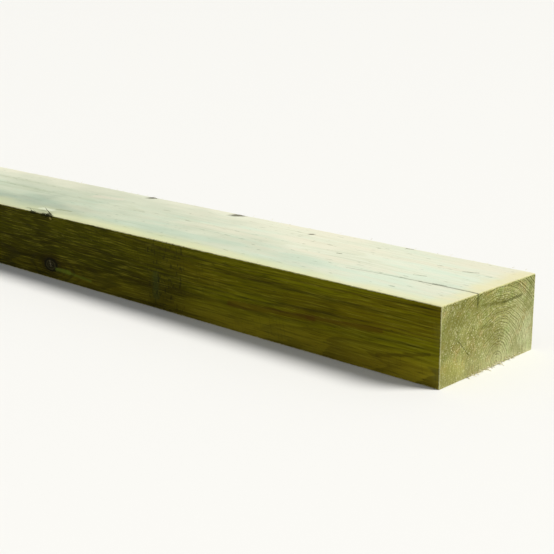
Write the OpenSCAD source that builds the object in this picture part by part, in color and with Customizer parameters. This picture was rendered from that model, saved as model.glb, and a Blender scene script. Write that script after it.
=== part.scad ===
// A sawn, pressure-treated softwood railway sleeper: one square-edged baulk of timber.
// It lies on its bed. The origin is at the middle of the bed, +X runs along the length
// to the end that has the drying check, +Y runs across the width and +Z is up.
// All sizes are in millimetres.

/* [Baulk] */
// Length from end to end
sleeper_length = 2400; // [900:50:3000]
// Width across the bed and the top
sleeper_width = 250; // [150:5:300]
// Depth from the bed to the top
sleeper_depth = 125; // [75:5:200]

/* [Arrises] */
// Chamfer that handling leaves on the four long arrises
long_arris = 1.5; // [0.5:0.5:8]
// Chamfer round both sawn ends
end_arris = 1; // [0.5:0.5:5]

/* [Drying check] */
// Run of the check along the top, from the end face
check_run = 240; // [100:10:800]
// Depth of the check at the end face
check_depth = 28; // [5:1:60]
// Width of the check at its mouth
check_mouth = 2; // [0.5:0.5:5]
// Distance of the check from the front side, at the end face
check_from_side = 90; // [40:1:120]
// How far the check leans towards the front side over its run
check_lean = 14; // [0:1:30]
// How late the lean sets in: 1 is a straight check, and more bends it near its far end
check_bend = 2; // [1:0.5:4]
// Straight stretches that follow the bend of the check
check_stretches = 8; // [2:1:16]

/* [Hidden] */

// A cut runs this far past the face that it opens, so that no skin is left.
overcut = 1;

checked_end = sleeper_length / 2;
front_side = -sleeper_width / 2;
check_mouth_y = front_side + check_from_side;

// Where the check runs, at a share of its run from the end face.
function check_x(share) = checked_end - check_run * share;
function check_y(share) = check_mouth_y - check_lean * pow(share, check_bend);
function check_half_width(share) = check_mouth / 2 * (1 - share);
function check_floor(share) = sleeper_depth - check_depth * (1 - share);

// A rectangle of the given size, centred, with its corners cut off at 45 degrees.
module chamfered_rectangle(size, chamfer) {
    half = size / 2;
    polygon([
        [-half.x + chamfer, -half.y], [half.x - chamfer, -half.y],
        [half.x, -half.y + chamfer], [half.x, half.y - chamfer],
        [half.x - chamfer, half.y], [-half.x + chamfer, half.y],
        [-half.x, half.y - chamfer], [-half.x, -half.y + chamfer]
    ]);
}

// The cross-section run from end to end, with the long arrises off.
module sawn_length() {
    rotate([90, 0, 90])
        linear_extrude(height = sleeper_length, center = true)
            chamfered_rectangle([sleeper_width, sleeper_depth], long_arris);
}

// The same length seen from the front, which takes the end arrises off top and bed.
module end_cut_from_front() {
    rotate([90, 0, 0])
        linear_extrude(height = sleeper_width, center = true)
            chamfered_rectangle([sleeper_length, sleeper_depth], end_arris);
}

// The same length seen from above, which takes the end arrises off both sides.
module end_cut_from_above() {
    linear_extrude(height = sleeper_depth, center = true)
        chamfered_rectangle([sleeper_length, sleeper_width], end_arris);
}

// The check seen from above: widest at the end face, and closed at the end of its run.
module check_plan() {
    shares = [for (i = [0 : check_stretches]) i / check_stretches];
    near_wall = [for (s = shares) [check_x(s), check_y(s) - check_half_width(s)]];
    far_wall = [for (i = [check_stretches - 1 : -1 : 0])
        [check_x(shares[i]), check_y(shares[i]) + check_half_width(shares[i])]];
    mouth = [
        [checked_end + overcut, check_y(0) + check_half_width(0)],
        [checked_end + overcut, check_y(0) - check_half_width(0)]
    ];
    linear_extrude(height = sleeper_depth + overcut)
        polygon(concat(near_wall, far_wall, mouth));
}

// The check seen from the front: deepest at the end face, and running out at the top.
module check_profile() {
    rotate([90, 0, 0])
        linear_extrude(height = sleeper_width, center = true)
            polygon([
                [checked_end + overcut, check_floor(0)],
                [checked_end, check_floor(0)],
                [check_x(1), check_floor(1)],
                [check_x(1), sleeper_depth + overcut],
                [checked_end + overcut, sleeper_depth + overcut]
            ]);
}

module drying_check() {
    intersection() {
        check_plan();
        check_profile();
    }
}

module sleeper() {
    color([0.62, 0.60, 0.40])
        difference() {
            translate([0, 0, sleeper_depth / 2])
                intersection() {
                    sawn_length();
                    end_cut_from_front();
                    end_cut_from_above();
                }
            drying_check();
        }
}

sleeper();
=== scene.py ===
# A sawn and treated softwood railway sleeper, lying on its bed on a pale studio floor.
# Everything is in metres: +X runs along the timber to the end with the drying check,
# +Y runs across it to the back side, and +Z is up.
import math

import bmesh
import bpy
import numpy as np
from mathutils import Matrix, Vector, noise
from mathutils.geometry import delaunay_2d_cdt


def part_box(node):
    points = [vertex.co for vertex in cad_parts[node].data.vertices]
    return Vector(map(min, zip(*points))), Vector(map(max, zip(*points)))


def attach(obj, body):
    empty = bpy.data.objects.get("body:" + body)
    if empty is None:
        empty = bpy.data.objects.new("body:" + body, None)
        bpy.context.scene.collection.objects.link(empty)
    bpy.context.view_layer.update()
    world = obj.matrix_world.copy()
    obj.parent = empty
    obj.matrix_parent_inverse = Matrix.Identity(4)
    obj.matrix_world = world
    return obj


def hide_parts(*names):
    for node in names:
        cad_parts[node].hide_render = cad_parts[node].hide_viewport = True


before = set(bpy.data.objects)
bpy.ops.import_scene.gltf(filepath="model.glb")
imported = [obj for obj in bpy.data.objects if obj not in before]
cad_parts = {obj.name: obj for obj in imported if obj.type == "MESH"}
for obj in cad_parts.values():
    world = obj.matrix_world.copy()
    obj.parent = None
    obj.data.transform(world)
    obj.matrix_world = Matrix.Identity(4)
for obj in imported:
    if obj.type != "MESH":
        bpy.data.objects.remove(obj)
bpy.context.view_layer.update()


# ---- The baulk ----
# One stick of pine, sawn square on a band mill, crosscut at both ends and treated under
# pressure, with nothing fixed to it. Handling has worn its arrises uneven, and a drying
# check has opened from the top into one end.
mm = 0.001
low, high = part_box("sleeper")
half_width = (high.y - low.y) / 2
depth = high.z - low.z

# The check, with the same sizes as the timber's own construction.
check_run = 240 * mm
check_depth = 28 * mm
check_mouth = 2 * mm
check_from_side = 90 * mm
check_lean = 14 * mm
check_bend = 2
closed_check = 4 * mm  # the strip of plain top face that carries on past the check's end

# A chip is out of the front top arris, beside a knot that broke the grain there. Each bite
# of it has an offset along the arris, a share of the depth, and a spread.
chip_x = 286 * mm
chip_depth = 6 * mm
bites = (
    (0, 1, 6 * mm),
    (11 * mm, 0.6, 3 * mm),
    (-14 * mm, 0.4, 3 * mm),
    (-45 * mm, 0.55, 5 * mm),
)

# Knots: where each comes out of the timber, its radius there, and how far the branch climbed
# for each unit that it grew outwards. The larger ones stand in whorls, as branches do.
knots = [
    (Vector((290, -125, 27)) * mm, 12 * mm, 1.2),
    (Vector((284, -121, 125)) * mm, 4 * mm, 0.6),
    (Vector((313, 121, 125)) * mm, 6 * mm, 0.6),
    (Vector((559, 117, 125)) * mm, 7 * mm, 0.9),
    (Vector((768, 90, 125)) * mm, 3 * mm, 0.6),
    (Vector((620, 125, 52)) * mm, 11 * mm, 0.5),
    (Vector((-262, 36, 125)) * mm, 12 * mm, 0.6),
    (Vector((-240, -125, 78)) * mm, 11 * mm, 0.7),
    (Vector((-275, 125, 60)) * mm, 14 * mm, 0.5),
    (Vector((-806, -64, 125)) * mm, 9 * mm, 0.7),
    (Vector((-820, 125, 34)) * mm, 11 * mm, 0.6),
    (Vector((-795, -125, 40)) * mm, 8 * mm, 0.6),
]


def waviness(places, reach, octaves=3):
    """Smooth unevenness of about -1 to 1 at each place, in swells of about this reach."""
    return np.array([noise.fractal(p, 1.0, 2.0, octaves) for p in (places / reach).tolist()])


# Stations along the timber, from the checked end to the plain one. They crowd together where
# the ends are rounded and round the chip and the knot below it.
plain_step = 7 * mm
broken_step = 2.5 * mm
end_steps = np.array([0, 0.15, 0.5, 1.1, 2.2, 4, 7, 11]) * mm
end_zone = 16 * mm
plain_run = np.arange(low.x + end_zone, high.x - end_zone, plain_step)
broken_run = np.arange(chip_x - 60 * mm, chip_x + 40 * mm, broken_step)
stations = np.concatenate([high.x - end_steps, plain_run, broken_run, low.x + end_steps])
stations = np.unique(stations.round(5))[::-1]
along = np.stack([stations, 0 * stations, 0 * stations], 1)
from_end = np.minimum(high.x - stations, stations - low.x)

# Each arris has its own wear, in the order back top, back bed, front bed, front top. The
# corners, where three faces meet, are knocked the roundest.
corner_radius = 2.6 * mm
corner_fade = 12 * mm
corner_wear = corner_radius * np.exp(-from_end / corner_fade)
arrises = []
for row, wear in enumerate((1.5, 1.9, 1.7, 1.3)):
    shift = np.array([0, 31.7 * (row + 1), 0])
    swell = waviness(along + shift, 90 * mm, 4) + 0.6 * waviness(along + shift, 14 * mm, 2)
    arrises.append(np.maximum(np.clip(wear + 1.1 * swell, 0.6, 4) * mm, corner_wear))
for offset, share, spread in bites:
    arrises[3] += chip_depth * share * np.exp(-(((stations - chip_x - offset) / spread) ** 2))

share = np.clip((high.x - stations) / check_run, 0, 1)
check_open = share < 1
check_y = -half_width + check_from_side - check_lean * share**check_bend
# It gapes unevenly, and closes to a hair towards its far end.
gape = (1 - share) ** 2 * (0.8 + 0.35 * waviness(along + 3.3, 14 * mm, 2))
check_half = np.where(check_open, check_mouth / 2 * gape + 0.12 * mm, closed_check / 2)
check_floor = depth - check_depth * (1 - share)

# The outline at every station, as columns of (y, z, outward y, outward z). It starts at the
# back lip of the check and goes round the section, flat by flat and arris by arris. Each
# flat has its start, its end, its number of steps and the way it faces.
flats = [
    ((check_y + check_half, depth), (half_width - arrises[0], depth), 39, (0, 1)),
    ((half_width, depth - arrises[0]), (half_width, arrises[1]), 30, (1, 0)),
    ((half_width - arrises[1], 0), (arrises[2] - half_width, 0), 60, (0, -1)),
    ((-half_width, arrises[2]), (-half_width, depth - arrises[3]), 31, (-1, 0)),
    ((arrises[3] - half_width, depth), (check_y - check_half, depth), 22, (0, 1)),
]
arris_steps = np.radians([22.5, 45, 67.5])
columns = []
for turn, (start, end, count, outward) in enumerate(flats):
    for part in np.linspace(0, 1, count + 1):
        y = start[0] + (end[0] - start[0]) * part
        z = start[1] + (end[1] - start[1]) * part
        columns.append(np.broadcast_arrays(y, z, outward[0], outward[1], stations)[:4])
    if turn == len(flats) - 1:
        break
    radius = arrises[turn]
    for bend in arris_steps:
        angle = math.pi / 2 * (1 - turn) - bend
        out_y, out_z = math.cos(angle), math.sin(angle)
        side_y = 1 if turn in (0, 1) else -1
        centre_y = side_y * (half_width - radius)
        centre_z = depth - radius if turn in (0, 3) else radius
        columns.append(
            np.broadcast_arrays(
                centre_y + radius * out_y, centre_z + radius * out_z, out_y, out_z, stations
            )[:4]
        )
lips_at = len(columns) - 1  # the column of the check's front lip
wander = 0.3 * mm * waviness(along, 30 * mm) * check_open
for part, drop in ((-0.45, 0.5), (0, 1), (0.45, 0.5)):
    y = check_y + check_half * part + wander
    z = depth - (depth - check_floor) * drop
    columns.append(np.broadcast_arrays(y, z, 0, 0, stations)[:4])
outline = np.stack([np.stack(c, -1) for c in columns], 1)  # stations, columns, 4
rows, around = outline.shape[:2]

# The saw, drying and handling leave the faces a little uneven, knots stand proud of the
# timber that shrank round them, and both ends are rounded where they meet the faces.
places = np.concatenate([np.repeat(stations[:, None, None], around, 1), outline[..., :2]], 2)
outwards = outline[..., 2:]
flat_places = places.reshape(-1, 3)
relief = 0.35 * mm * waviness(flat_places, np.array([300, 70, 70]) * mm)
relief += 0.12 * mm * waviness(flat_places + 9, np.array([30, 9, 9]) * mm, 2)
for spot, radius, climb in knots:
    gap = np.linalg.norm((flat_places - spot) / (1 + climb / 2, 1, 1), axis=1) / radius
    relief += 0.5 * mm * np.exp(-(gap**4)) - 0.4 * mm * np.exp(-(((gap - 1.25) / 0.3) ** 2))
relief = relief.reshape(rows, around)
end_round = (1.3 + 0.5 * waviness(flat_places + 5, 12 * mm, 2).reshape(rows, around)) * mm
lost = np.clip(end_round - from_end[:, None], 0, None)
relief -= end_round - np.sqrt(end_round**2 - lost**2)
places[..., 1:] += outwards * relief[..., None]
places[..., 2] = np.maximum(places[..., 2], 0)

# The two crosscut ends. Each is filled with a fine net inside its outline, so that the
# tooth marks of the crosscut saw can stand in it.
net_pitch = 2.6 * mm
net_margin = 2.2 * mm
tooth_mark = 0.12 * mm
points = places.reshape(-1, 3).tolist()
faces = []
for i in range(rows - 1):
    for j in range(around):
        k = (j + 1) % around
        faces.append((i * around + j, i * around + k, (i + 1) * around + k, (i + 1) * around + j))
wall_count = len(faces)
for row, facing in ((0, 1), (rows - 1, -1)):
    rim = places[row, :, 1:]
    inner_y, inner_z = np.meshgrid(
        np.arange(-half_width + net_margin, half_width - net_margin, net_pitch),
        np.arange(net_margin, depth - net_margin, net_pitch),
    )
    net = np.stack([inner_y.ravel(), inner_z.ravel()], 1)
    near_check = np.abs(net[:, 0] - check_y[row]) < 2 * check_mouth
    net = net[~(near_check & (net[:, 1] > check_floor[row] - net_pitch))] if facing > 0 else net
    corners = [Vector(p) for p in np.concatenate([rim, net]).tolist()]
    loop = list(range(around))[::-1]
    filled = delaunay_2d_cdt(corners, [], [loop], 1, 1e-7)
    found, triangles, origins = filled[0], filled[2], filled[3]
    numbers = []
    for spot, origin in zip(found, origins, strict=True):
        if origin and min(origin) < around:
            numbers.append(row * around + min(origin))
            continue
        swell = waviness(np.array([[facing, spot.x, spot.y]]), 25 * mm, 3)[0]
        ridge = math.sin((spot.x + 0.12 * spot.y + 3 * mm * swell) / (6 * mm) * math.tau)
        numbers.append(len(points))
        rise = tooth_mark * ridge + 0.25 * mm * swell
        points.append((stations[row] + facing * (rise - 0.2 * mm), spot.x, spot.y))
    for triangle in triangles:
        turned = triangle if facing > 0 else triangle[::-1]
        faces.append(tuple(numbers[c] for c in turned))

mesh = bpy.data.meshes.new("sleeper_timber")
mesh.from_pydata(points, [], faces)
mesh.validate()
mesh.shade_smooth()
crisp = np.zeros(len(mesh.polygons), bool)
for i in np.nonzero(check_open[:-1])[0]:
    crisp[i * around + lips_at : (i + 1) * around] = True
mesh.attributes.new("sharp_face", "BOOLEAN", "FACE").data.foreach_set("value", crisp)
timber = bpy.data.objects.new("sleeper_timber", mesh)
bpy.context.scene.collection.objects.link(timber)

# Its map lays the four long faces side by side, with more of it across the grain than along
# it, and the two ends in a band beyond them. These are shares of the map.
map_margin = 0.004
faces_height = 0.83
ends_from, ends_height = 0.85, 0.14
near_from, plain_from, end_width = 0.01, 0.51, 0.48
least_step = 8 * mm
corner_count = len(mesh.loops)
corner_vertex = np.zeros(corner_count, int)
mesh.loops.foreach_get("vertex_index", corner_vertex)
spots = np.zeros(len(mesh.vertices) * 3)
mesh.vertices.foreach_get("co", spots)
spots = spots.reshape(-1, 3)[corner_vertex]
middle = places[rows // 2, :, 1:]
steps = np.linalg.norm(np.roll(middle, -1, 0) - middle, axis=1)
steps[lips_at:] = np.maximum(steps[lips_at:], least_step)
girth = np.concatenate([[0], np.cumsum(steps)]) / steps.sum()
map_at = np.zeros((corner_count, 2))
walls = wall_count * 4
column = corner_vertex[:walls] % around
last_column = (np.arange(walls) // 4) % around == around - 1
column = np.where(last_column & (column == 0), around, column)
length_share = (spots[:walls, 0] - low.x) / (high.x - low.x)
map_at[:walls, 0] = map_margin + (1 - 2 * map_margin) * length_share
map_at[:walls, 1] = map_margin + faces_height * girth[column]
across = (spots[walls:, 1] + half_width) / (2 * half_width)
map_at[walls:, 0] = np.where(spots[walls:, 0] > 0, near_from, plain_from) + end_width * across
map_at[walls:, 1] = ends_from + ends_height * spots[walls:, 2] / depth
layer = mesh.uv_layers.new(name="OFBake")
layer.uv.foreach_set("vector", map_at.astype(np.float32).ravel())


def linear(code):
    """A colour written as sRGB hex, turned to the linear numbers that shaders take."""
    parts = [int(code[i : i + 2], 16) / 255 for i in (1, 3, 5)]
    return tuple(c / 12.92 if c <= 0.04045 else ((c + 0.055) / 1.055) ** 2.4 for c in parts) + (1,)


def add(tree, kind, *feeds, **settings):
    """Adds a node, makes its settings, and feeds its sockets in order; None skips one."""
    made = tree.nodes.new(kind if kind.startswith(("Geo", "Fun", "Node")) else "ShaderNode" + kind)
    for name, value in settings.items():
        setattr(made, name, value)
    for socket, feed in zip([s for s in made.inputs if s.enabled], feeds):
        if isinstance(feed, bpy.types.Node):
            feed = next(s for s in feed.outputs if s.enabled)
        if isinstance(feed, bpy.types.NodeSocket):
            tree.links.new(feed, socket)
        elif feed is not None:
            socket.default_value = feed
    return made


def start_group(name, takes, gives):
    """Starts a shader group; each input and output is a title and its kind of value."""
    group = bpy.data.node_groups.new(name, "ShaderNodeTree")
    for way, sockets in (("INPUT", takes), ("OUTPUT", gives)):
        for title, kind in sockets:
            group.interface.new_socket(title, in_out=way, socket_type="NodeSocket" + kind)
    return group, add(group, "NodeGroupInput").outputs


# Grain: noise from 0 to 1, in flecks of the given millimetres along, across and through.
grain, taken = start_group(
    "grain",
    (("Place", "Vector"), ("Fleck", "Vector"), ("Seed", "Float"), ("Detail", "Float")),
    (("Value", "Float"),),
)
fleck = add(grain, "VectorMath", taken["Fleck"], (mm, mm, mm), operation="MULTIPLY")
counted = add(grain, "VectorMath", taken["Place"], fleck, operation="DIVIDE")
counted = add(grain, "VectorMath", counted, taken["Seed"], operation="ADD")
cloudy = add(grain, "TexNoise", counted, 1.0, taken["Detail"], 0.6)
add(grain, "NodeGroupOutput", cloudy)

# Ramp: goes straight from Low to High while a value goes from Start to End. It stands for a
# clamped Map Range. The renderer leaves such clamps till last, and with this many patterns
# the shader would run out of room for what waits, and turn black.
ramp, taken = start_group(
    "ramp",
    (("Value", "Float"), ("Start", "Float"), ("End", "Float"), ("Low", "Float"), ("High", "Float")),
    (("Value", "Float"),),
)
span = add(ramp, "Math", taken["End"], taken["Start"], operation="SUBTRACT")
climbed = add(ramp, "Math", taken["Value"], taken["Start"], operation="SUBTRACT")
climbed = add(ramp, "Math", climbed, span, operation="DIVIDE")
climbed = add(ramp, "Math", climbed, 0.0, operation="MAXIMUM")
climbed = add(ramp, "Math", climbed, 1.0, operation="MINIMUM")
climb = add(ramp, "Math", taken["High"], taken["Low"], operation="SUBTRACT")
climbed = add(ramp, "Math", climbed, climb, taken["Low"], operation="MULTIPLY_ADD")
add(ramp, "NodeGroupOutput", climbed)

# Stain: one colour laid over another where a pattern goes from Start to End. A smooth step
# stays in its range by itself, so it has no clamp.
smooth = {"interpolation_type": "SMOOTHSTEP", "clamp": False}
stain, taken = start_group(
    "stain",
    (
        ("Under", "Color"),
        ("Over", "Color"),
        ("Pattern", "Float"),
        ("Start", "Float"),
        ("End", "Float"),
        ("Amount", "Float"),
    ),
    (("Colour", "Color"),),
)
share = add(
    stain, "MapRange", taken["Pattern"], taken["Start"], taken["End"], 0.0, taken["Amount"],
    **smooth,
)
laid = add(stain, "Mix", share, taken["Under"], taken["Over"], data_type="RGBA")
add(stain, "NodeGroupOutput", laid)

# Stroke: a narrow mark from one place to another, such as a shake or a run of resin.
stroke, taken = start_group(
    "stroke",
    (
        ("Place", "Vector"),
        ("From", "Vector"),
        ("To", "Vector"),
        ("Half width", "Float"),
        ("Rag", "Float"),
    ),
    (("Mask", "Float"),),
)
run = add(stroke, "VectorMath", taken["To"], taken["From"], operation="SUBTRACT")
reach = add(stroke, "VectorMath", taken["Place"], taken["From"], operation="SUBTRACT")
run_square = add(stroke, "VectorMath", run, run, operation="DOT_PRODUCT").outputs["Value"]
shadow = add(stroke, "VectorMath", reach, run, operation="DOT_PRODUCT").outputs["Value"]
part = add(stroke, "Math", shadow, run_square, operation="DIVIDE")
part = add(stroke, "Math", part, 0.0, operation="MAXIMUM")
part = add(stroke, "Math", part, 1.0, operation="MINIMUM")
nearest = add(stroke, "VectorMath", run, part, operation="SCALE")
offset = add(stroke, "VectorMath", reach, nearest, operation="DISTANCE").outputs["Value"]
widths_off = add(stroke, "Math", offset, taken["Half width"], operation="DIVIDE")
widths_off = add(stroke, "Math", widths_off, taken["Rag"], operation="ADD")
mask = add(stroke, "MapRange", widths_off, 0.4, 1.4, 1.0, 0.0, **smooth)
add(stroke, "NodeGroupOutput", mask)

# Knot: a cone that widens from the pith. Ratio is the distance from its axis in knot radii,
# and Swell is how far it pushes the growth rings outwards round it.
knot, taken = start_group(
    "knot",
    (("Place", "Vector"), ("Root", "Vector"), ("Aim", "Vector"), ("Taper", "Float")),
    (("Ratio", "Float"), ("Swell", "Float")),
)
reach = add(knot, "VectorMath", taken["Place"], taken["Root"], operation="SUBTRACT")
grown = add(knot, "VectorMath", reach, taken["Aim"], operation="DOT_PRODUCT").outputs["Value"]
axis_part = add(knot, "VectorMath", taken["Aim"], grown, operation="SCALE")
aside = add(knot, "VectorMath", reach, axis_part, operation="DISTANCE").outputs["Value"]
ahead = add(knot, "Math", grown, 4 * mm, operation="MAXIMUM")
thickness = add(knot, "Math", ahead, taken["Taper"], operation="MULTIPLY")
ratio = add(knot, "Math", aside, thickness, operation="DIVIDE")
# The swell falls off as a bell and is gone some five knot radii away.
hump = add(knot, "Math", ratio, 0.36, operation="MULTIPLY")
hump = add(knot, "Math", hump, 2.0, operation="POWER")
hump = add(knot, "Math", hump, -1.0, operation="MULTIPLY")
hump = add(knot, "Math", hump, operation="EXPONENT")
hump = add(knot, "Math", hump, thickness, operation="MULTIPLY")
add(knot, "NodeGroupOutput", ratio, hump)

# Treated sawn pine: it was sawn green and soaked with a copper preservative. To the eye it is
# matt and furred, olive with straw brown under it, bleached pale on top, and ringed on the
# ends round a pith that lies just above the bed.
pine = bpy.data.materials.new("treated_sawn_pine")
pine.use_nodes = True
tree = pine.node_tree
tree.nodes.clear()
place = add(tree, "TexCoord").outputs["Object"]
split = add(tree, "SeparateXYZ", place).outputs
x, y, z = split["X"], split["Y"], split["Z"]

# The pith snakes a little through the stick, from where it shows on the checked end.
pith_end = Vector((22, 6)) * mm
pith_sway = Vector((9, 9)) * mm
sway_length = Vector((1.9, 2.6))
back = add(tree, "Math", high.x, x, operation="SUBTRACT")
wave = add(tree, "Math", back, math.tau / sway_length.x, operation="MULTIPLY")
wave = add(tree, "Math", wave, operation="SINE")
pith_y = add(tree, "Math", wave, pith_sway.x, pith_end.x, operation="MULTIPLY_ADD")
wave = add(tree, "Math", back, math.tau / sway_length.y, operation="MULTIPLY")
wave = add(tree, "Math", wave, operation="COSINE")
middle_z = pith_end.y + pith_sway.y
pith_z = add(tree, "Math", wave, -pith_sway.y, middle_z, operation="MULTIPLY_ADD")


def pith(at):
    """Where the pith lies at this distance along the timber."""
    sideways = pith_end.x + pith_sway.x * math.sin(math.tau * (high.x - at) / sway_length.x)
    upwards = middle_z - pith_sway.y * math.cos(math.tau * (high.x - at) / sway_length.y)
    return sideways, upwards


# Growth rings: the distance from the pith, warped in broad and small waves, and pushed
# outwards round each knot.
from_y = add(tree, "Math", y, pith_y, operation="SUBTRACT")
from_z = add(tree, "Math", z, pith_z, operation="SUBTRACT")
radial = add(tree, "CombineXYZ", None, from_y, from_z)
radius = add(tree, "VectorMath", radial, operation="LENGTH").outputs["Value"]
for size, seed, swing in (((450, 60, 60), 3.1, 14 * mm), ((80, 14, 14), 8.4, 2.0 * mm)):
    warp = add(tree, "Group", place, size, seed, 2.0, node_tree=grain)
    warp = add(tree, "Math", warp, 0.5, operation="SUBTRACT")
    radius = add(tree, "Math", warp, swing, radius, operation="MULTIPLY_ADD")
knot_ratio = None
for spot, knot_radius, climb in knots:
    # Three rounds find the place on the winding pith that the branch grew from.
    root_x = spot.x
    for _ in range(3):
        root_y, root_z = pith(root_x)
        root_x = spot.x - climb * math.hypot(spot.y - root_y, spot.z - root_z)
    root = Vector((root_x, root_y, root_z))
    taper = knot_radius / (spot - root).length
    branch = add(tree, "Group", place, root, (spot - root).normalized(), taper, node_tree=knot)
    radius = add(tree, "Math", radius, branch.outputs["Swell"], operation="SUBTRACT")
    ratio = branch.outputs["Ratio"]
    knot_ratio = add(tree, "Math", knot_ratio or ratio, ratio, operation="MINIMUM")

# The rings stand 5 mm apart near the pith and close up outwards, some wide, some narrow.
# Each goes slowly from pale earlywood to dark latewood and stops sharply.
ring_pitch = 5.2 * mm
closing_radius = 0.45
crowding = add(tree, "Math", radius, 1 / closing_radius, 1.0, operation="MULTIPLY_ADD")
ring = add(tree, "Math", radius, 1 / ring_pitch, operation="MULTIPLY")
ring = add(tree, "Math", ring, crowding, operation="MULTIPLY")
uneven = add(tree, "TexNoise", ring, 0.5, 1.0, noise_dimensions="1D")
ring = add(tree, "Math", uneven, 1.1, ring, operation="MULTIPLY_ADD")
phase = add(tree, "Math", ring, operation="FRACT")
rise = add(tree, "MapRange", phase, 0.25, 0.88, **smooth)
fall = add(tree, "MapRange", phase, 0.92, 1.0, 1.0, 0.0, **smooth)
late = add(tree, "Math", rise, fall, operation="MULTIPLY")
season = add(tree, "Math", ring, operation="FLOOR")
season = add(tree, "TexWhiteNoise", season, noise_dimensions="1D")
season = add(tree, "Group", season, 0.0, 1.0, 0.5, 1.0, node_tree=ramp)
late = add(tree, "Math", late, season, operation="MULTIPLY")

# Where a place is: on top, on an end, on an arris. Torn fibres fray these borders.
fray = add(tree, "Group", place, (9, 2.5, 2.5), 5.5, 2.0, node_tree=grain)
fray = add(tree, "Math", fray, 0.5, operation="SUBTRACT")
far_x = add(tree, "Math", x, operation="ABSOLUTE")
far_y = add(tree, "Math", y, operation="ABSOLUTE")
to_end = add(tree, "Math", high.x, far_x, operation="SUBTRACT")
to_side = add(tree, "Math", half_width, far_y, operation="SUBTRACT")
to_top = add(tree, "Math", depth, z, operation="SUBTRACT")
to_bed = add(tree, "Math", to_top, z, operation="MINIMUM")
nearer = add(tree, "Math", to_end, to_side, operation="MINIMUM")
farther = add(tree, "Math", to_end, to_side, operation="MAXIMUM")
to_arris = add(tree, "Math", farther, to_bed, operation="MINIMUM")
to_arris = add(tree, "Math", nearer, to_arris, operation="MAXIMUM")
borders = []
for gap, rag, start, end in (
    (to_top, 1.6 * mm, 0.5 * mm, 1.5 * mm),
    (to_end, 0.8 * mm, 0.5 * mm, 1.1 * mm),
    (to_arris, 3.0 * mm, 0.3 * mm, 2.4 * mm),
):
    ragged = add(tree, "Math", fray, rag, gap, operation="MULTIPLY_ADD")
    borders.append(add(tree, "MapRange", ragged, start, end, 1.0, 0.0, **smooth))
on_top, on_end, on_arris = borders

# Patterns that the faces share, each by the real size of its flecks in millimetres. Fibres
# are drawn about twice as coarse as real ones, or they would not show.
fibre = add(tree, "Group", place, (50, 1.7, 1.7), 1.3, 3.0, node_tree=grain)
fuzz = add(tree, "Group", place, (9, 1.3, 1.3), 6.1, 2.0, node_tree=grain)
streak = add(tree, "Group", place, (420, 6, 6), 2.2, 3.0, node_tree=grain)
band = add(tree, "Group", place, (900, 24, 24), 5.9, 2.0, node_tree=grain)
cloud = add(tree, "Group", place, (380, 70, 70), 4.6, 2.0, node_tree=grain)
speck = add(tree, "Group", place, (14, 3.2, 3.2), 8.8, 1.0, node_tree=grain)
damp = add(tree, "Group", place, (60, 40, 40), 11.3, 2.0, node_tree=grain)

# Painted light: 0 where painted shade lies deepest, a little past the middle of the stick, up to 1
# towards both ends. The border wanders, and the back side gets less of the shade.
shade_middle = 150 * mm
shade_wander = 1.1
apart = add(tree, "Group", place, (190, 80, 80), 2.9, 2.0, node_tree=grain)
centred = -shade_wander / 2 - shade_middle
apart = add(tree, "Math", apart, shade_wander, centred, operation="MULTIPLY_ADD")
apart = add(tree, "Math", apart, x, operation="ADD")
apart = add(tree, "Math", apart, operation="ABSOLUTE")
apart = add(tree, "Math", y, 0.8, apart, operation="MULTIPLY_ADD")
painted_light = add(tree, "Group", apart, -50 * mm, 900 * mm, 0.0, 1.0, node_tree=ramp)

# Tooth marks: the band saw left faint bars across the long faces, a little slanted and in
# patches. The real ones stand about half as far apart, too close to show.
teeth_pitch = 7.5 * mm
teeth_slant = 0.2
bars = add(tree, "Math", z, teeth_slant, x, operation="MULTIPLY_ADD")
bars = add(tree, "Math", bars, math.tau / teeth_pitch, operation="MULTIPLY")
bars = add(tree, "Math", cloud, 9.0, bars, operation="MULTIPLY_ADD")
bars = add(tree, "Math", bars, operation="SINE")
patch = add(tree, "Group", place, (260, 90, 90), 12.5, 1.0, node_tree=grain)
patch = add(tree, "MapRange", patch, 0.45, 0.65, **smooth)
bars = add(tree, "Math", bars, patch, operation="MULTIPLY")
tooth = add(tree, "Group", place, (9, 60, 60), 13.1, 1.0, node_tree=grain)
tooth = add(tree, "MapRange", tooth, 0.4, 0.6, **smooth)
bars = add(tree, "Math", bars, tooth, operation="MULTIPLY")

# Sides and bed: olive, held well below the top and ends by painted shade, darker in the latewood,
# and with more painted shade towards the middle of the stick. Painted light makes them lighter
# and yellower low down, and the back side is a milder straw with less of the painted shade.
side_stains = (
    # Painted light: lighter and yellower low down, against the shade near the floor.
    ("#b09a2c", z, 60 * mm, 0.0, 0.50),
    ("#8f8a52", y, 40 * mm, 125 * mm, 0.75),
    ("#443e04", late, 0.0, 1.0, 0.65),
    ("#5a4204", cloud, 0.42, 0.66, 0.45),
    ("#4a3a04", band, 0.48, 0.70, 0.70),
    ("#3a3504", streak, 0.50, 0.74, 0.60),
    # Painted shade towards the middle of the stick.
    ("#1d1e00", painted_light, 1.0, 0.0, 0.78),
    ("#948e2a", fibre, 0.50, 0.76, 0.58),
    ("#1a1802", fibre, 0.47, 0.24, 0.70),
    ("#1c1a06", speck, 0.70, 0.80, 0.50),
    ("#8f883c", speck, 0.26, 0.18, 0.30),
    ("#2b2804", bars, 0.2, 1.0, 0.20),
)
# A dark base: the wood's own olive, darkened further as painted shade.
side = linear("#747202")
for code, pattern, start, end, amount in side_stains:
    side = add(tree, "Group", side, linear(code), pattern, start, end, amount, node_tree=stain)
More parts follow.
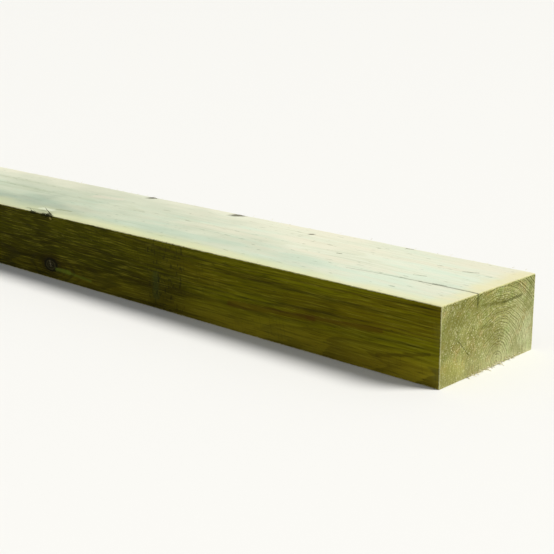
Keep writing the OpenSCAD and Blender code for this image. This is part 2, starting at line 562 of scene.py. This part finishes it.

# Top: bleached to cream and lifted further by painted light, with mint towards the front where
# preservative has dried on it, pink towards the back where the wood is fresher, a grey painted
# shade towards the middle of the stick and the front edge, painted light that pales the back,
# and warmer rims, which widen and strengthen with the painted light towards the ends.
mint = add(tree, "Group", place, (170, 34, 34), 7.7, 3.0, node_tree=grain)
mint = add(tree, "Math", y, -0.9, mint, operation="MULTIPLY_ADD")
pink = add(tree, "Group", place, (210, 40, 40), 9.2, 2.0, node_tree=grain)
pink = add(tree, "Math", y, 0.7, pink, operation="MULTIPLY_ADD")
from_front = add(tree, "Math", y, half_width, operation="ADD")
peppered = add(tree, "Group", place, (20, 4.5, 4.5), 3.4, 1.0, node_tree=grain)
peppered = add(tree, "Math", band, 0.5, peppered, operation="MULTIPLY_ADD")
painted_light_top = add(tree, "Math", y, 1.6, painted_light, operation="MULTIPLY_ADD")
paler = add(tree, "Group", painted_light, 1.0, 0.45, 0.0, 0.42, node_tree=ramp)
long_rim = add(tree, "Math", damp, 30 * mm, from_front, operation="MULTIPLY_ADD")
long_rim = add(tree, "Math", painted_light, 25 * mm, long_rim, operation="MULTIPLY_ADD")
rim_share = add(tree, "Group", painted_light, 0.05, 0.45, 0.42, 0.64, node_tree=ramp)
end_rim = add(tree, "Math", damp, 60 * mm, to_end, operation="MULTIPLY_ADD")
top_stains = (
    ("#bcbf9f", late, 0.0, 1.0, 0.35),
    ("#ccdac6", mint, 0.44, 0.66, 0.75),
    ("#ded8c2", pink, 0.52, 0.70, 0.50),
    ("#aeb192", band, 0.54, 0.75, 0.35),
    ("#96997f", streak, 0.58, 0.80, 0.50),
    ("#e9ebda", fibre, 0.52, 0.80, 0.50),
    ("#969a80", fibre, 0.42, 0.20, 0.40),
    ("#747c60", peppered, 0.93, 1.03, 0.50),
    # Painted light: paler towards the back, most where the painted shade lies.
    ("#f2edda", y, 10 * mm, 110 * mm, paler),
    # Painted shade: grey towards the middle of the stick and along the front edge.
    ("#7f957d", painted_light_top, 1.05, 0.05, 0.42),
    ("#6f8276", painted_light_top, 0.20, -0.10, 0.34),
    ("#dcd4a6", end_rim, 75 * mm, 35 * mm, 0.65),
    ("#dad8a2", long_rim, 80 * mm, 26 * mm, rim_share),
)
# A pale base: bleached cream, lifted further as painted light.
top = linear("#d8dbc6")
for code, pattern, start, end, amount in top_stains:
    top = add(tree, "Group", top, linear(code), pattern, start, end, amount, node_tree=stain)

# Crosscut ends: khaki, furred by the saw most towards the front, damp and darker in patches,
# and lighter low down and towards the back as painted light. The rings show where the cut is clean.
mottle = add(tree, "Group", place, (30, 5, 5), 9.4, 3.0, node_tree=grain)
stipple = add(tree, "Group", place, (30, 2.6, 2.2), 5.2, 1.0, node_tree=grain)
leftward = add(tree, "Math", y, z, operation="SUBTRACT")
tint = add(tree, "Group", place, (60, 20, 20), 14.7, 2.0, node_tree=grain)
late_high = add(tree, "Math", to_top, -9.0, late, operation="MULTIPLY_ADD")
furred = add(tree, "Group", leftward, -90 * mm, 0.0, 0.74, 0.46, node_tree=ramp)
clean_cut = add(tree, "Group", mottle, 0.36, 0.58, 0.30, 1.0, node_tree=ramp)
end_stains = (
    # Painted light, rising towards the back and the bed.
    ("#c2c69c", leftward, -90 * mm, 110 * mm, 0.70),
    ("#a98c50", tint, 0.52, 0.70, 0.42),
    ("#8ca25c", tint, 0.46, 0.30, 0.42),
    ("#78793a", damp, 0.42, 0.62, 0.58),
    ("#504d1a", late, 0.10, 0.95, clean_cut),
    ("#45451a", late_high, 0.1, 0.8, 0.78),
    ("#4f4c1a", mottle, 0.48, 0.24, 0.50),
    ("#dad7a6", mottle, 0.52, 0.76, 0.45),
    ("#45431a", stipple, 0.43, 0.20, furred),
    ("#e6e4bc", stipple, 0.57, 0.80, furred),
    # Painted light low down.
    ("#d6d4a0", z, 50 * mm, 0.0, 0.14),
)
end_grain = linear("#9b9c5a")
for code, pattern, start, end, amount in end_stains:
    end_grain = add(
        tree, "Group", end_grain, linear(code), pattern, start, end, amount, node_tree=stain
    )

# The faces take their own colours: the pale top carries painted light and the dark sides painted
# shade, besides the wood's own differences.
colour = add(tree, "Mix", on_top, side, top, data_type="RGBA")
colour = add(tree, "Mix", on_end, colour, end_grain, data_type="RGBA")
colour = add(
    tree, "Group", colour, linear("#dfdba4"), on_arris, 0.0, 1.0, 0.55, node_tree=stain
)

# Knots: hard brown wood with rings of its own, in a collar of black bark, and darker crowded
# grain round about. They take the same painted shade towards the middle of the stick, and those
# on top are paler, with the top's bleaching and painted light.
wobble = add(tree, "Math", fray, 0.4, knot_ratio, operation="MULTIPLY_ADD")
knot_rings = add(tree, "Math", wobble, 16.0, operation="MULTIPLY")
knot_rings = add(tree, "Math", knot_rings, operation="SINE")
knot_heart = add(tree, "Group", wobble, 0.75, 1.0, 0.0, 1.0, node_tree=ramp)
knot_stains = (
    # Painted shade towards the middle of the stick.
    ("#1c1b06", painted_light, 1.0, 0.1, 0.60),
    ("#17160a", knot_rings, -0.4, 0.9, 0.85),
    ("#131006", knot_heart, 0.0, 1.0, 0.9),
)
knot_wood = linear("#5e5a3c")
for code, pattern, start, end, amount in knot_stains:
    knot_wood = add(
        tree, "Group", knot_wood, linear(code), pattern, start, end, amount, node_tree=stain
    )
colour = add(tree, "Group", colour, linear("#2c1f08"), wobble, 2.4, 1.0, 0.42, node_tree=stain)
knot_share = add(tree, "Group", on_top, 0.0, 1.0, 0.95, 0.65, node_tree=ramp)
colour = add(tree, "Group", colour, knot_wood, wobble, 1.2, 1.05, knot_share, node_tree=stain)

# Marks, each from one place to another in millimetres, with its half width, its colour and
# how strongly it shows: shakes, runs of resin, dark streaks, rubbed places and painted shade in the
# chip.
marks = (
    # The checked end
    ((1200, -82, 63), (1200, -53, 36), 0.7, "#45421a", 0.5),
    ((1200, -22, 104), (1200, 40, 97), 2.6, "#57571f", 0.6),
    ((1200, 36, 97), (1200, 87, 98), 2.2, "#4c4d22", 0.65),
    ((1200, 0, 84), (1200, 70, 84), 2.6, "#6b6a30", 0.5),
    ((1200, -20, 70), (1200, 8, 68), 3.0, "#5c5a24", 0.4),
    ((1200, -100, 96), (1200, -60, 88), 9, "#6a6a2c", 0.4),
    ((1200, -108, 28), (1200, -76, 20), 14, "#b8b44a", 0.16),
    ((1200, -78, 106), (1200, -10, 108), 14, "#70702e", 0.30),
    ((1200, -116, 88), (1200, -113, 66), 14, "#6e6c28", 0.36),
    ((1200, -114, 20), (1200, -100, 14), 18, "#77742e", 0.36),
    ((1200, 100, 82), (1200, 112, 72), 11, "#74742e", 0.22),
    ((1200, 22, 8), (1200, 27, 45), 0.8, "#5c5a2c", 0.6),
    # Heart shakes in the plain end
    ((-1200, 31, 7), (-1200, 12, 74), 1.3, "#3a3414", 0.8),
    ((-1200, 31, 7), (-1200, 92, 38), 1.0, "#3a3414", 0.8),
    ((-1200, 31, 7), (-1200, -34, 4), 0.9, "#3a3414", 0.8),
    # The top, from the checked end on
    ((955, 118, 125), (968, 122, 125), 1.3, "#6c6c50", 0.8),
    ((1066, -12, 125), (1086, -6, 125), 1.6, "#7a8068", 0.8),
    ((1119, -34, 125), (1141, -32, 125), 1.4, "#6c725c", 0.8),
    ((1112, 56, 125), (1134, 65, 125), 1.6, "#7c8470", 0.8),
    ((890, 15, 125), (898, 17, 125), 1.8, "#5c6040", 0.8),
    ((776, -57, 125), (780, -56, 125), 1.8, "#7c8068", 0.7),
    ((420, 53, 125), (436, 55, 125), 1.8, "#7c8068", 0.7),
    ((262, -84, 125), (300, -77, 125), 2.4, "#7c8468", 0.7),
    ((205, -112, 125), (262, -107, 125), 3.0, "#8c9478", 0.6),
    ((215, 54, 125), (275, 64, 125), 12, "#e8d4c4", 0.25),
    ((330, 10, 125), (440, 20, 125), 50, "#d8dac4", 0.25),
    ((232, -96, 125), (262, -96, 125), 8, "#e4ead8", 0.4),
    # The chip and the front side
    # Painted shade in the hollows of the chip.
    ((270, -124, 122), (300, -124, 122), 4.5, "#1e2006", 0.80),
    ((235, -124, 123), (248, -124, 123), 3.5, "#1e2006", 0.80),
    ((294, -125, 119), (298, -125, 118), 1.6, "#b0a058", 0.60),
    ((262, -125, 120), (288, -125, 40), 26, "#1c1600", 0.25),
    ((289, -125, 34), (292, -125, 25), 1.5, "#8c866c", 0.60),
    ((308, -125, 21), (350, -125, 21), 4.2, "#78902f", 0.40),
    ((340, -125, 21), (412, -125, 16), 2.8, "#6c8026", 0.40),
    ((777, -125, 47), (960, -125, 57), 6, "#4e3208", 0.5),
    ((950, -125, 58), (1092, -125, 66), 5, "#4e3208", 0.5),
    ((1086, -125, 27), (1181, -125, 49), 3, "#3c3006", 0.5),
    ((575, -125, 101), (576, -125, 108), 2.2, "#14160a", 0.5),
    ((602, -125, 52), (601, -125, 62), 2.8, "#0c1008", 0.6),
    ((656, -125, 50), (658, -125, 58), 2.4, "#14160a", 0.5),
    ((662, -125, 110), (661, -125, 119), 2.4, "#14160a", 0.5),
    ((594, -125, 24), (594, -125, 60), 9, "#3c4a24", 0.4),
)
# The larger knots have each cracked across as they dried, and the cracks lie any way round.
cracked_radius = 8 * mm
for number, (spot, knot_radius, climb) in enumerate(knots):
    across = Vector((0, 0, 1)) if spot.z < depth else Vector((0, 1, 0))
    turn = 2.4 * number
    reach = knot_radius * 0.8 * (Vector((math.cos(turn), 0, 0)) + across * math.sin(turn))
    if knot_radius > cracked_radius:
        marks += (((spot - reach) / mm, (spot + reach) / mm, 0.9, "#0f0b06", 0.85),)

# Each mark bends a little with the grain and has ragged borders. The narrow ones are open
# cracks, which the relief takes up as well.
widest_crack = 1.5
bent = add(tree, "Group", place, (24, 8, 8), 3.9, 3.0, node_tree=grain)
bent = add(tree, "Math", bent, 5 * mm, -2.5 * mm, operation="MULTIPLY_ADD")
bent = add(tree, "CombineXYZ", None, bent, bent)
bent = add(tree, "VectorMath", place, bent, operation="ADD")
rag = add(tree, "Math", fibre, 2.4, -1.2, operation="MULTIPLY_ADD")
shake = None
for start, end, half, code, amount in marks:
    mark = add(
        tree, "Group", bent, Vector(start) * mm, Vector(end) * mm, half * mm, rag,
        node_tree=stroke,
    )
    colour = add(
        tree, "Group", colour, linear(code), mark, 0.0, 1.0, amount, node_tree=stain
    )
    if half < widest_crack:
        shake = add(tree, "Math", shake or mark, mark, operation="MAXIMUM")

# Painted shade down inside the drying check and along its lips, in patches, fading towards its far
# end and shown only near the top.
gone = add(tree, "Math", back, 1 / check_run, operation="MULTIPLY")
lean = add(tree, "Math", gone, check_bend, operation="POWER")
line = add(tree, "Math", lean, -check_lean, check_from_side - half_width, operation="MULTIPLY_ADD")
off_line = add(tree, "Math", y, line, operation="SUBTRACT")
off_line = add(tree, "Math", off_line, operation="ABSOLUTE")
deep = add(tree, "Math", gone, check_depth, depth - check_depth, operation="MULTIPLY_ADD")
below = add(tree, "Math", deep, z, operation="SUBTRACT")
below = add(tree, "Math", below, 0.0, operation="MAXIMUM")
off_line = add(tree, "Math", off_line, below, operation="ADD")
painted_check_shade = add(tree, "Group", off_line, 1.3 * mm, 0.6 * mm, 0.0, 1.0, node_tree=ramp)
closing = add(tree, "Group", gone, 0.55, 0.05, 0.0, 1.0, node_tree=ramp)
patchy_shade = add(tree, "Group", mottle, 0.42, 0.56, 0.30, 1.0, node_tree=ramp)
narrowing = add(tree, "Group", z, 98 * mm, 108 * mm, 0.0, 1.0, node_tree=ramp)
painted_check_shade = add(tree, "Math", painted_check_shade, closing, operation="MULTIPLY")
painted_check_shade = add(tree, "Math", painted_check_shade, patchy_shade, operation="MULTIPLY")
painted_check_shade = add(tree, "Math", painted_check_shade, narrowing, operation="MULTIPLY")
colour = add(
    tree, "Group", colour, linear("#17140a"), painted_check_shade, 0.0, 1.0, 0.85, node_tree=stain
)

# A dirty band across the front side, where a bearer pressed against it in the stack.
bearer = add(tree, "Math", x, 622 * mm, operation="SUBTRACT")
bearer = add(tree, "Math", bearer, operation="ABSOLUTE")
bearer = add(tree, "MapRange", bearer, 70 * mm, 30 * mm, **smooth)
skin_from, skin_to = 2 * mm - half_width, 0.5 * mm - half_width
front = add(tree, "Group", y, skin_from, skin_to, 0.0, 1.0, node_tree=ramp)
bearer = add(tree, "Math", bearer, front, operation="MULTIPLY")
smear = add(tree, "Group", place, (5, 5, 11), 1.9, 1.0, node_tree=grain)
smear = add(tree, "Group", smear, 0.56, 0.70, 0.28, 1.0, node_tree=ramp)
bearer = add(tree, "Math", bearer, smear, operation="MULTIPLY")
colour = add(tree, "Group", colour, linear("#1f200c"), bearer, 0.0, 1.0, 0.65, node_tree=stain)

# Relief in millimetres for the bump: proud latewood, torn fibre, tooth marks, open shakes.
height = add(tree, "Math", late, 0.25, operation="MULTIPLY")
for pattern, rise in ((fibre, 0.5), (fuzz, 0.35), (bars, 0.06), (shake, -0.9)):
    height = add(tree, "Math", pattern, rise, height, operation="MULTIPLY_ADD")
bump = add(tree, "Bump", 0.9, mm, None, height)
rough = add(tree, "Group", late, 0.0, 1.0, 0.9, 0.72, node_tree=ramp)
surface = add(tree, "BsdfPrincipled", colour, 0.0, rough, 1.45, None, bump)
surface.inputs["Specular IOR Level"].default_value = 0.06  # the fur on sawn wood kills its gloss
add(tree, "OutputMaterial", surface)
mesh.materials.append(pine)

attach(timber, "root")
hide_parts("sleeper")


# ---- Torn fibres ----
# Slivers of the same pine, all still fast to it: a ragged fringe that the crosscut saw tore
# out along the lower edge of each end, a few stray hairs along the long arrises, and splinters
# that a knock lifted at the chip, painted nearly black as shade.
torn = bpy.data.node_groups.new("torn_fibres", "GeometryNodeTree")
for title, kind in (
    ("From", "Vector"),
    ("To", "Vector"),
    ("Lean", "Vector"),
    ("Splay", "Float"),
    ("Count", "Int"),
    ("Shortest", "Float"),
    ("Longest", "Float"),
    ("Thickness", "Float"),
    ("Seed", "Int"),
    ("Wood", "Material"),
):
    torn.interface.new_socket(title, in_out="INPUT", socket_type="NodeSocket" + kind)
torn.interface.new_socket("Geometry", in_out="OUTPUT", socket_type="NodeSocketGeometry")
given = add(torn, "NodeGroupInput").outputs

# One point for each sliver, strewn a little off the line from From to To.
edge = add(
    torn, "GeometryNodeMeshLine", given["Count"], given["From"], given["To"], mode="END_POINTS"
)
number = add(torn, "GeometryNodeInputIndex")
jog_low, jog_high = Vector((-0.6, -3, -0.4)) * mm, Vector((0, 3, 1.6)) * mm
jog = add(
    torn, "FunctionNodeRandomValue", jog_low, jog_high, number, given["Seed"],
    data_type="FLOAT_VECTOR",
)
strewn = add(torn, "GeometryNodeSetPosition", edge, None, None, jog)

# The sliver: a thin cone of unit length with a torn tip, bowed to one side.
sides, lengths, fills = 5, 4, 1
tip, foot, bow = 0.12, 1.0, 1.6
sliver = add(torn, "GeometryNodeMeshCone", sides, lengths, fills, tip, foot, 1.0)
height = add(torn, "SeparateXYZ", add(torn, "GeometryNodeInputPosition")).outputs["Z"]
curl = add(torn, "Math", height, 2.0, operation="POWER")
curl = add(torn, "Math", curl, bow, operation="MULTIPLY")
curl = add(torn, "CombineXYZ", curl)
bowed = add(torn, "GeometryNodeSetPosition", sliver, None, None, curl)

# Each is turned to Lean, splayed at random, stretched to its length, and flatter than wide.
splay = add(
    torn, "FunctionNodeRandomValue", (-1, -1, -1), (1, 1, 1), number, given["Seed"],
    data_type="FLOAT_VECTOR",
)
splay = add(torn, "VectorMath", splay, given["Splay"], operation="SCALE")
aimed = add(torn, "VectorMath", splay, given["Lean"], operation="ADD")
turned = add(torn, "FunctionNodeAlignRotationToVector", None, 1.0, aimed, axis="Z")
length = add(
    torn, "FunctionNodeRandomValue", given["Shortest"], given["Longest"], number,
    given["Seed"], data_type="FLOAT",
)
flat = add(torn, "Math", given["Thickness"], 0.45, operation="MULTIPLY")
stretch = add(torn, "CombineXYZ", given["Thickness"], flat, length)
planted = add(
    torn, "GeometryNodeInstanceOnPoints", strewn, None, bowed, None, None, turned, stretch
)
real = add(torn, "GeometryNodeRealizeInstances", planted)
dressed = add(torn, "GeometryNodeSetMaterial", real, None, given["Wood"])
add(torn, "NodeGroupOutput", dressed)

# Torn pine fibre: fresh wood that the saw opened after the treatment had dried. To the eye it
# is matt pale straw, greener in places, with fine ridges along each sliver.
# Lifted pine splinter: the outer skin, torn up with its olive stain on and darkened to nearly
# black as painted shade. It has the same ridges.
woods = []
for name, outer, inner in (
    ("torn_pine_fibre", "#f0ead0", "#c2b97c"),
    ("pine_splinter_painted_shade", "#191c05", "#2e320c"),
):
    wood = bpy.data.materials.new(name)
    wood.use_nodes = True
    tree = wood.node_tree
    tree.nodes.clear()
    place = add(tree, "TexCoord").outputs["Object"]
    tone = add(tree, "Group", place, (6, 3, 3), 2.5, 2.0, node_tree=grain)
    colour = add(
        tree, "Group", linear(outer), linear(inner), tone, 0.4, 0.65, 1.0, node_tree=stain
    )
    relief = add(tree, "Group", place, (4, 0.4, 0.4), 0.7, 1.0, node_tree=grain)
    bump = add(tree, "Bump", 0.5, 0.2 * mm, None, relief)
    surface = add(tree, "BsdfPrincipled", colour, 0.0, 0.85, 1.45, None, bump)
    add(tree, "OutputMaterial", surface)
    woods.append(wood)

# Each fringe: from and to in millimetres, lean, splay, count, shortest, longest, thickness.
# The last four are the splinters that stand at the chip.
fringes = (
    ((1199.5, -50, 2.4), (1199.5, 84, 2.4), (1, -0.3, 0.25), 0.6, 26, 5, 13, 1.5),
    ((1199.5, -118, 1.6), (1199.5, 118, 1.6), (1, -0.15, 0.2), 0.5, 60, 1.5, 5, 0.4),
    ((-1199.5, -112, 1.6), (-1199.5, 112, 1.6), (-1, 0.1, 0.12), 0.5, 60, 2, 9, 0.45),
    ((1199.6, -115, 124.2), (1199.6, 115, 124.2), (0.8, 0.1, 0.4), 0.5, 30, 0.8, 2.6, 0.25),
    ((-1150, -124.4, 124.4), (1180, -124.4, 124.4), (0.8, -0.4, 0.3), 0.5, 110, 1.5, 6, 0.28),
    ((-1150, 124.4, 124.4), (1180, 124.4, 124.4), (0.8, 0.4, 0.3), 0.5, 100, 1.5, 6, 0.28),
    ((-1150, -124.4, 1.4), (1180, -124.4, 1.4), (0.8, -0.5, 0.15), 0.4, 100, 1.5, 7, 0.28),
    ((-1150, 124.4, 1.4), (1180, 124.4, 1.4), (0.8, 0.5, 0.15), 0.4, 100, 1.5, 7, 0.28),
    ((298, -122, 122), (298, -122, 122), (-0.92, 0, 0.40), 0.1, 1, 27, 27, 1.7),
    ((284, -123, 122), (299, -123, 122), (-0.85, -0.1, 0.40), 0.3, 5, 6, 15, 0.8),
    ((243, -122, 122), (243, -122, 122), (-0.85, 0, 0.60), 0.1, 1, 13, 13, 1.7),
    ((232, -123, 122), (262, -123, 122), (-0.85, -0.1, 0.40), 0.3, 6, 4, 10, 0.6),
)
splinters_from = 8
fibres = bpy.data.meshes.new("torn_fibres")
joined = bmesh.new()
socket_of = {i.name: i.identifier for i in torn.interface.items_tree if i.in_out == "INPUT"}
for seed, (start, end, lean, splay, count, shortest, longest, thickness) in enumerate(fringes):
    holder = bpy.data.objects.new("fringe", bpy.data.meshes.new("fringe"))
    bpy.context.scene.collection.objects.link(holder)
    grow = holder.modifiers.new("torn_fibres", "NODES")
    grow.node_group = torn
    for title, value in (
        ("From", Vector(start) * mm),
        ("To", Vector(end) * mm),
        ("Lean", Vector(lean)),
        ("Splay", splay),
        ("Count", count),
        ("Shortest", shortest * mm),
        ("Longest", longest * mm),
        ("Thickness", thickness * mm),
        ("Seed", seed),
        ("Wood", woods[seed >= splinters_from]),
    ):
        grow[socket_of[title]] = value
    grown = holder.evaluated_get(bpy.context.evaluated_depsgraph_get())
    plain = bpy.data.meshes.new_from_object(grown)
    done = len(joined.faces)
    joined.from_mesh(plain)
    joined.faces.ensure_lookup_table()
    for face in joined.faces[done:]:
        face.material_index = int(seed >= splinters_from)
    bpy.data.meshes.remove(plain)
    bpy.data.objects.remove(holder)
for vertex in joined.verts:
    vertex.co.z = max(vertex.co.z, 0.1 * mm)
joined.to_mesh(fibres)
joined.free()
for wood in woods:
    fibres.materials.append(wood)
torn_fibres = bpy.data.objects.new("torn_fibres", fibres)
bpy.context.scene.collection.objects.link(torn_fibres)
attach(torn_fibres, "root")


# ---- Studio: floor, light and camera ----
# A pale paper floor inside a lit white wall, a low even sky, and one broad lamp, as wide as a
# hazy sun, high beyond the checked end and the back side.
floor_reach = 60
backdrop_height = 40
rim = [(a * floor_reach, b * floor_reach) for a, b in ((-1, -1), (1, -1), (1, 1), (-1, 1))]
floor_mesh = bpy.data.meshes.new("studio_floor")
floor_mesh.from_pydata([(a, b, 0) for a, b in rim], [], [(0, 1, 2, 3)])
floor = bpy.data.objects.new("studio_floor", floor_mesh)
bpy.context.scene.collection.objects.link(floor)

# Matt white paper, as it comes off a background roll: even and pale, with no shine, so that
# only the soft shadow of the timber shows on it.
paper = bpy.data.materials.new("matt_white_paper")
paper.use_nodes = True
paper_surface = paper.node_tree.nodes["Principled BSDF"]
paper_surface.inputs["Base Color"].default_value = linear("#e4e4e2")
paper_surface.inputs["Roughness"].default_value = 0.9
floor_mesh.materials.append(paper)

# Lit white wall: painted board with its own lights, which reads as plain bright white. It
# stands all round and is only seen: it casts no light or shadow on the timber.
wall_points = [(a, b, h) for h in (0, backdrop_height) for a, b in rim]
walls = [(i, i + 4, (i + 1) % 4 + 4, (i + 1) % 4) for i in range(4)]
wall_mesh = bpy.data.meshes.new("studio_backdrop")
wall_mesh.from_pydata(wall_points, [], walls)
backdrop = bpy.data.objects.new("studio_backdrop", wall_mesh)
bpy.context.scene.collection.objects.link(backdrop)
glow = bpy.data.materials.new("lit_white_wall")
glow.use_nodes = True
glow.node_tree.nodes.clear()
light_wall = add(glow.node_tree, "Emission", linear("#fbfaf6"), 0.97)
add(glow.node_tree, "OutputMaterial", light_wall)
wall_mesh.materials.append(glow)
backdrop.visible_diffuse = False
backdrop.visible_glossy = False
backdrop.visible_shadow = False

world = bpy.data.worlds.new("studio")
world.use_nodes = True
bpy.context.scene.world = world
sky = world.node_tree.nodes["Background"]
sky.inputs["Color"].default_value = linear("#f4f6f8")
sky.inputs["Strength"].default_value = 0.36

sun = bpy.data.lights.new("key", "SUN")
sun.energy = 3.7
sun.angle = math.radians(22)
sun.color = (1.0, 0.98, 0.94)
key = bpy.data.objects.new("key", sun)
towards_lamp = Vector((0.66, 0.42, 1.0))
key.rotation_mode = "QUATERNION"
key.rotation_quaternion = towards_lamp.to_track_quat("Z", "Y")
bpy.context.scene.collection.objects.link(key)

lens = bpy.data.cameras.new("camera")
lens.lens = 77.84
lens.sensor_width = 36
lens.clip_end = 200
camera = bpy.data.objects.new("camera", lens)
camera.location = (2.127, -1.466, 0.600)
aimed_at = Vector((0.768, 0, 0.0647))
camera.rotation_mode = "QUATERNION"
camera.rotation_quaternion = (camera.location - aimed_at).to_track_quat("Z", "Y")
bpy.context.scene.collection.objects.link(camera)
bpy.context.scene.camera = camera
bpy.context.scene.view_settings.view_transform = "Standard"
